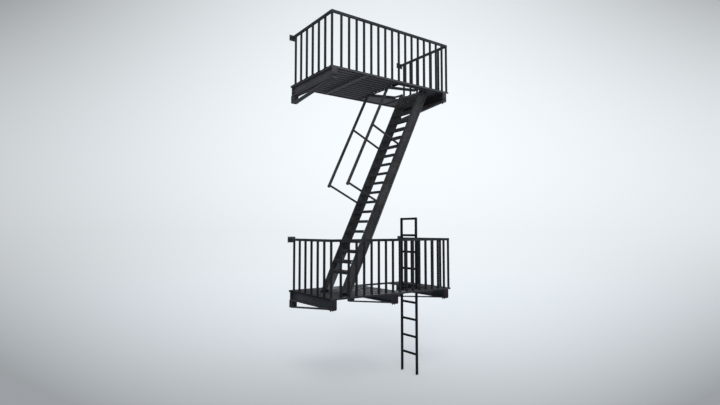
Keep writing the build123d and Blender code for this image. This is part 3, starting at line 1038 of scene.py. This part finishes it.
# %% Caps, welds and cleat bolts of the hand rails
pipe = 0.0255
collar = [(0, 0), (pipe * 1.1, 0.001), (pipe * 1.1, 0.016), (0, 0.017)]
cap = [(0, 0), (pipe * 0.98, 0), (pipe * 0.98, 0.004), (pipe * 0.9, 0.008),
       (pipe * 0.62, 0.0115), (0, 0.013)]
tray = []
for side in ("front", "wall"):
    low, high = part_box(f"stair_{side}_handrail")
    middle_y = (low.y + high.y) / 2
    tip = Vector((low.x + pipe * slope_way.z, middle_y, low.z + pipe * slope_way.x))
    lathe(tray, cap, tip, -slope_way, 20)
    lathe(tray, collar, tip + slope_way * 0.001, slope_way, 20)
keep("handrail_caps", tray, "stair_paint")
brace_half = 0.014
square = Vector((slope_way.z, 0, -slope_way.x))
welds = []
for low, high in islands("stair_handrail_braces"):
    for side in (-1, 1):
        root = Vector((high.x, (low.y + high.y) / 2 + side * brace_half, low.z)) - square * 0.002
        start, end = [root + slope_way * brace_half * share for share in (-0.2, 1.9)]
        bead(welds, start, end, 0.004)
keep("brace_welds", welds, "stair_paint")
cleat_height = 0.038
for low, high in islands("stair_top_cleats"):
    outward = -1 if (low.y + high.y) / 2 < (first.y + treads[0][1].y) / 2 else 1
    climb = (high.z - low.z - cleat_height) / (high.x - low.x)
    face = high.y if outward < 0 else low.y
    for back in (0.022, 0.062):
        at = (high.x - back, face, high.z - cleat_height / 2 - back * climb)
        nut(bolts, at, (0, -outward, 0), across=0.017, stud=0.006)
keep("stair_bolts", bolts, "stair_paint", black_bolt)

# %% [markdown]
# ## The corner of the stair's opening
#
# At its front left corner the opening's bar is tied to the slats by a short angle: one leg lies
# under the slats and the other stands against the bar, with two bolts through it. The angle is
# black, as painted shade in that corner.

# %% Angle at the opening's corner
flat_leg, hanging_leg = 0.034, 0.028
bar_x = min(low.x for low, high in islands("upper_trimmers"))
leg_x = bar_x - angle_thick
under = deck_under["upper"]
near, far = deck_front + 0.139, deck_front + 0.269
corner = []
plate(corner, (leg_x, near, under - hanging_leg), (bar_x, far, under))
plate(corner, (bar_x - flat_leg, near, under - angle_thick), (leg_x, far, under))
tray = []
for y in (near + 0.030, far - 0.030):
    nut(tray, (leg_x, y, under - 0.016), (-1, 0, 0), across=0.016, stud=0.006)
# black finish on the angle and its bolts: painted shade at the opening's corner
keep("opening_corner_angle", corner, "bracket_paint", black_bolt)
keep("opening_corner_bolts", tray, "bracket_paint", black_bolt)

# %% [markdown]
# ## The drop ladder
#
# A rung is let through both rails and hammered over outside, so each end is a low rivet head,
# with a collar inside. Two straps tie the ladder to the bar by its opening, with three bolts each.

# %% Rung ends and strap bolts
hammered_end = (0.019, 0.005)
collar = [(0, -0.001), (0.0255, -0.001), (0.0255, 0.001), (0.0212, 0.006), (0, 0.006)]
tray = []
rail_low, rail_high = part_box("ladder_rails")
for low, high in rungs:
    middle = (low + high) / 2
    for y, inner_y, way in ((rail_low.y, low.y, 1), (rail_high.y, high.y, -1)):
        rivet(tray, (middle.x, y, middle.z), (0, -way, 0), *hammered_end)
        lathe(tray, collar, (middle.x, inner_y, middle.z), (0, way, 0), 16)
keep("rung_ends", tray, "ladder_paint")
tray = []
for low, high in islands("ladder_straps"):
    near_front = low.y < (rail_low.y + rail_high.y) / 2
    face, way = (low.y, -1) if near_front else (high.y, 1)
    for x in (low.x + 0.016, low.x + 0.040, high.x - 0.030):
        nut(tray, (x, face, (low.z + high.z) / 2), (0, way, 0), across=0.016, stud=0.008)
keep("ladder_strap_bolts", tray, "ladder_paint", black_bolt)

# %% [markdown]
# ## The studio
#
# The stair is shown without its building, so it stands before a pale seamless sweep. The floor
# is one large disc that takes the ladder's shadow. Far off it melts into the backdrop's colour,
# so no horizon shows. The backdrop is the world itself, seen only by the camera and by
# reflections. It could be one flat colour, but a real sweep is brightest behind the stair and
# falls off towards the corners. What lights the steel is a plain even sky and two soft lamps.

# %% The sweep's tone
sweep_middle = camera.location.copy()
sweep_right = (cos(radians(view_turn)), -sin(radians(view_turn)), 0)
sweep_ahead = camera.rotation_euler.to_matrix() @ Vector((0, 0, -1))
sweep_darkest = 0.35
sweep_rest = 0.78        # the even tone of all that lies outside the street view
paper = (0.951, 1.0, 1.039, 1)
black = (0, 0, 0, 1)


def sweep_tone(finish, toward):
    """The sweep's brightness in a direction from its middle: less aside, above and below."""
    aside = finish.measure("DOT_PRODUCT", toward, sweep_right)
    height = finish.axis(toward, "Z")
    above, below = finish.pick("MAXIMUM", height, 0.0), finish.pick("MINIMUM", height, 0.0)
    tone = 0.910 + 0.138 * aside - 0.60 * aside * aside
    tone = tone + above * (0.72 - 1.95 * above) - 3.3 * below * below
    corner = aside * above
    edge = (aside + 0.04) * (aside + 0.04)
    fall = 42.0 * above * above * above * above - 6.5 * below
    tone = finish.pick("MAXIMUM", tone - 5.0 * corner * corner - fall * edge * edge, sweep_darkest)
    lit = finish.ramp(finish.measure("DOT_PRODUCT", toward, sweep_ahead), 0.62, 0.75)
    return tone * lit + sweep_rest * (1.0 - lit)


print("sweep ready")

# %% Floor
floor_radius = 160.0
floor_gap = 0.0008       # keeps the floor just clear of the ladder's feet
floor_gain = 1.04
floor_mesh = bmesh.new()
bmesh.ops.create_circle(floor_mesh, cap_ends=True, segments=96, radius=floor_radius)
bmesh.ops.translate(floor_mesh, verts=floor_mesh.verts, vec=(0, 0, cad_low.z - floor_gap))
floor_data = bpy.data.meshes.new("floor")
floor_mesh.to_mesh(floor_data)
floor_mesh.free()
floor = bpy.data.objects.new("floor", floor_data)
scene.collection.objects.link(floor)

sheet = Finish("pale_floor")
here = sheet.place()
toward = sheet.move("NORMALIZE", sheet.move("SUBTRACT", here, sweep_middle))
tone = sweep_tone(sheet, toward)
# the floor's colour carries the sweep's fall of light, brightest behind the stair: a painted pool
# of light
sheet.set("Base Color", sheet.blend(tone * floor_gain, black, paper))
sheet.set("Roughness", 1.0)
sheet.set("Specular IOR Level", 0.0)
# the floor also glows in the backdrop's colour, fully far off and partly at the stair's foot,
# which lightens its shadow: painted light
glow = sheet.node("Emission", None, {"Color": sheet.blend(tone, black, paper), "Strength": 1.0})
near_melt = 0.42         # how far the floor has melted into the backdrop at the stair's foot
far = sheet.ramp(sheet.measure("DISTANCE", here, (0, 0, 0)), 10.0, 34.0)
melt = near_melt + (1.0 - near_melt) * far
paper_and_glow = {0: melt, 1: sheet.wire(sheet.shader), 2: sheet.wire(glow)}
shown = sheet.wire(sheet.node("MixShader", None, paper_and_glow))
sheet.feed(sheet.tree.nodes["Material Output"].inputs["Surface"], shown)
floor_data.materials.append(sheet.material)
print("floor at", round(cad_low.z, 3))

# %% Backdrop and sky
world = bpy.data.worlds.new("studio")
world.use_nodes = True
scene.world = world
sky = Finish.__new__(Finish)        # a world has its own node tree, so no material is made
sky.tree = world.node_tree
sky.shader = sky.tree.nodes["Background"]
rays = sky.node("LightPath")
seen = sky.wire(rays, "Is Camera Ray") + sky.wire(rays, "Is Glossy Ray")
seen = sky.ramp(seen + sky.wire(rays, "Is Transmission Ray"), 0.0, 1.0)
toward = sky.wire(sky.node("TexCoord"), "Generated")
backdrop = sky.blend(sweep_tone(sky, toward), black, paper)
even_sky = (0.72, 0.74, 0.77, 1)
sky.set("Color", sky.blend(seen, even_sky, backdrop))
sky.set("Strength", 1.0)
print("sky:", even_sky[:3])

# %% Lamps
def lamp(name, turn, height, power, softness, colour):
    """A sun lamp whose light comes from a compass turn and a height, both in degrees."""
    data = bpy.data.lights.new(name, "SUN")
    data.energy = power
    data.angle = radians(softness)
    data.color = colour
    shine = bpy.data.objects.new(name, data)
    shine.rotation_euler = (radians(90 - height), 0, radians(-turn))
    scene.collection.objects.link(shine)
    print(name, "from", turn, "degrees")


lamp("window_light", 35, 50, 0.9, 25, (1.0, 0.98, 0.95))
lamp("fill_light", -40, 20, 0.3, 40, (0.9, 0.95, 1.0))
scene.view_settings.view_transform = "Standard"
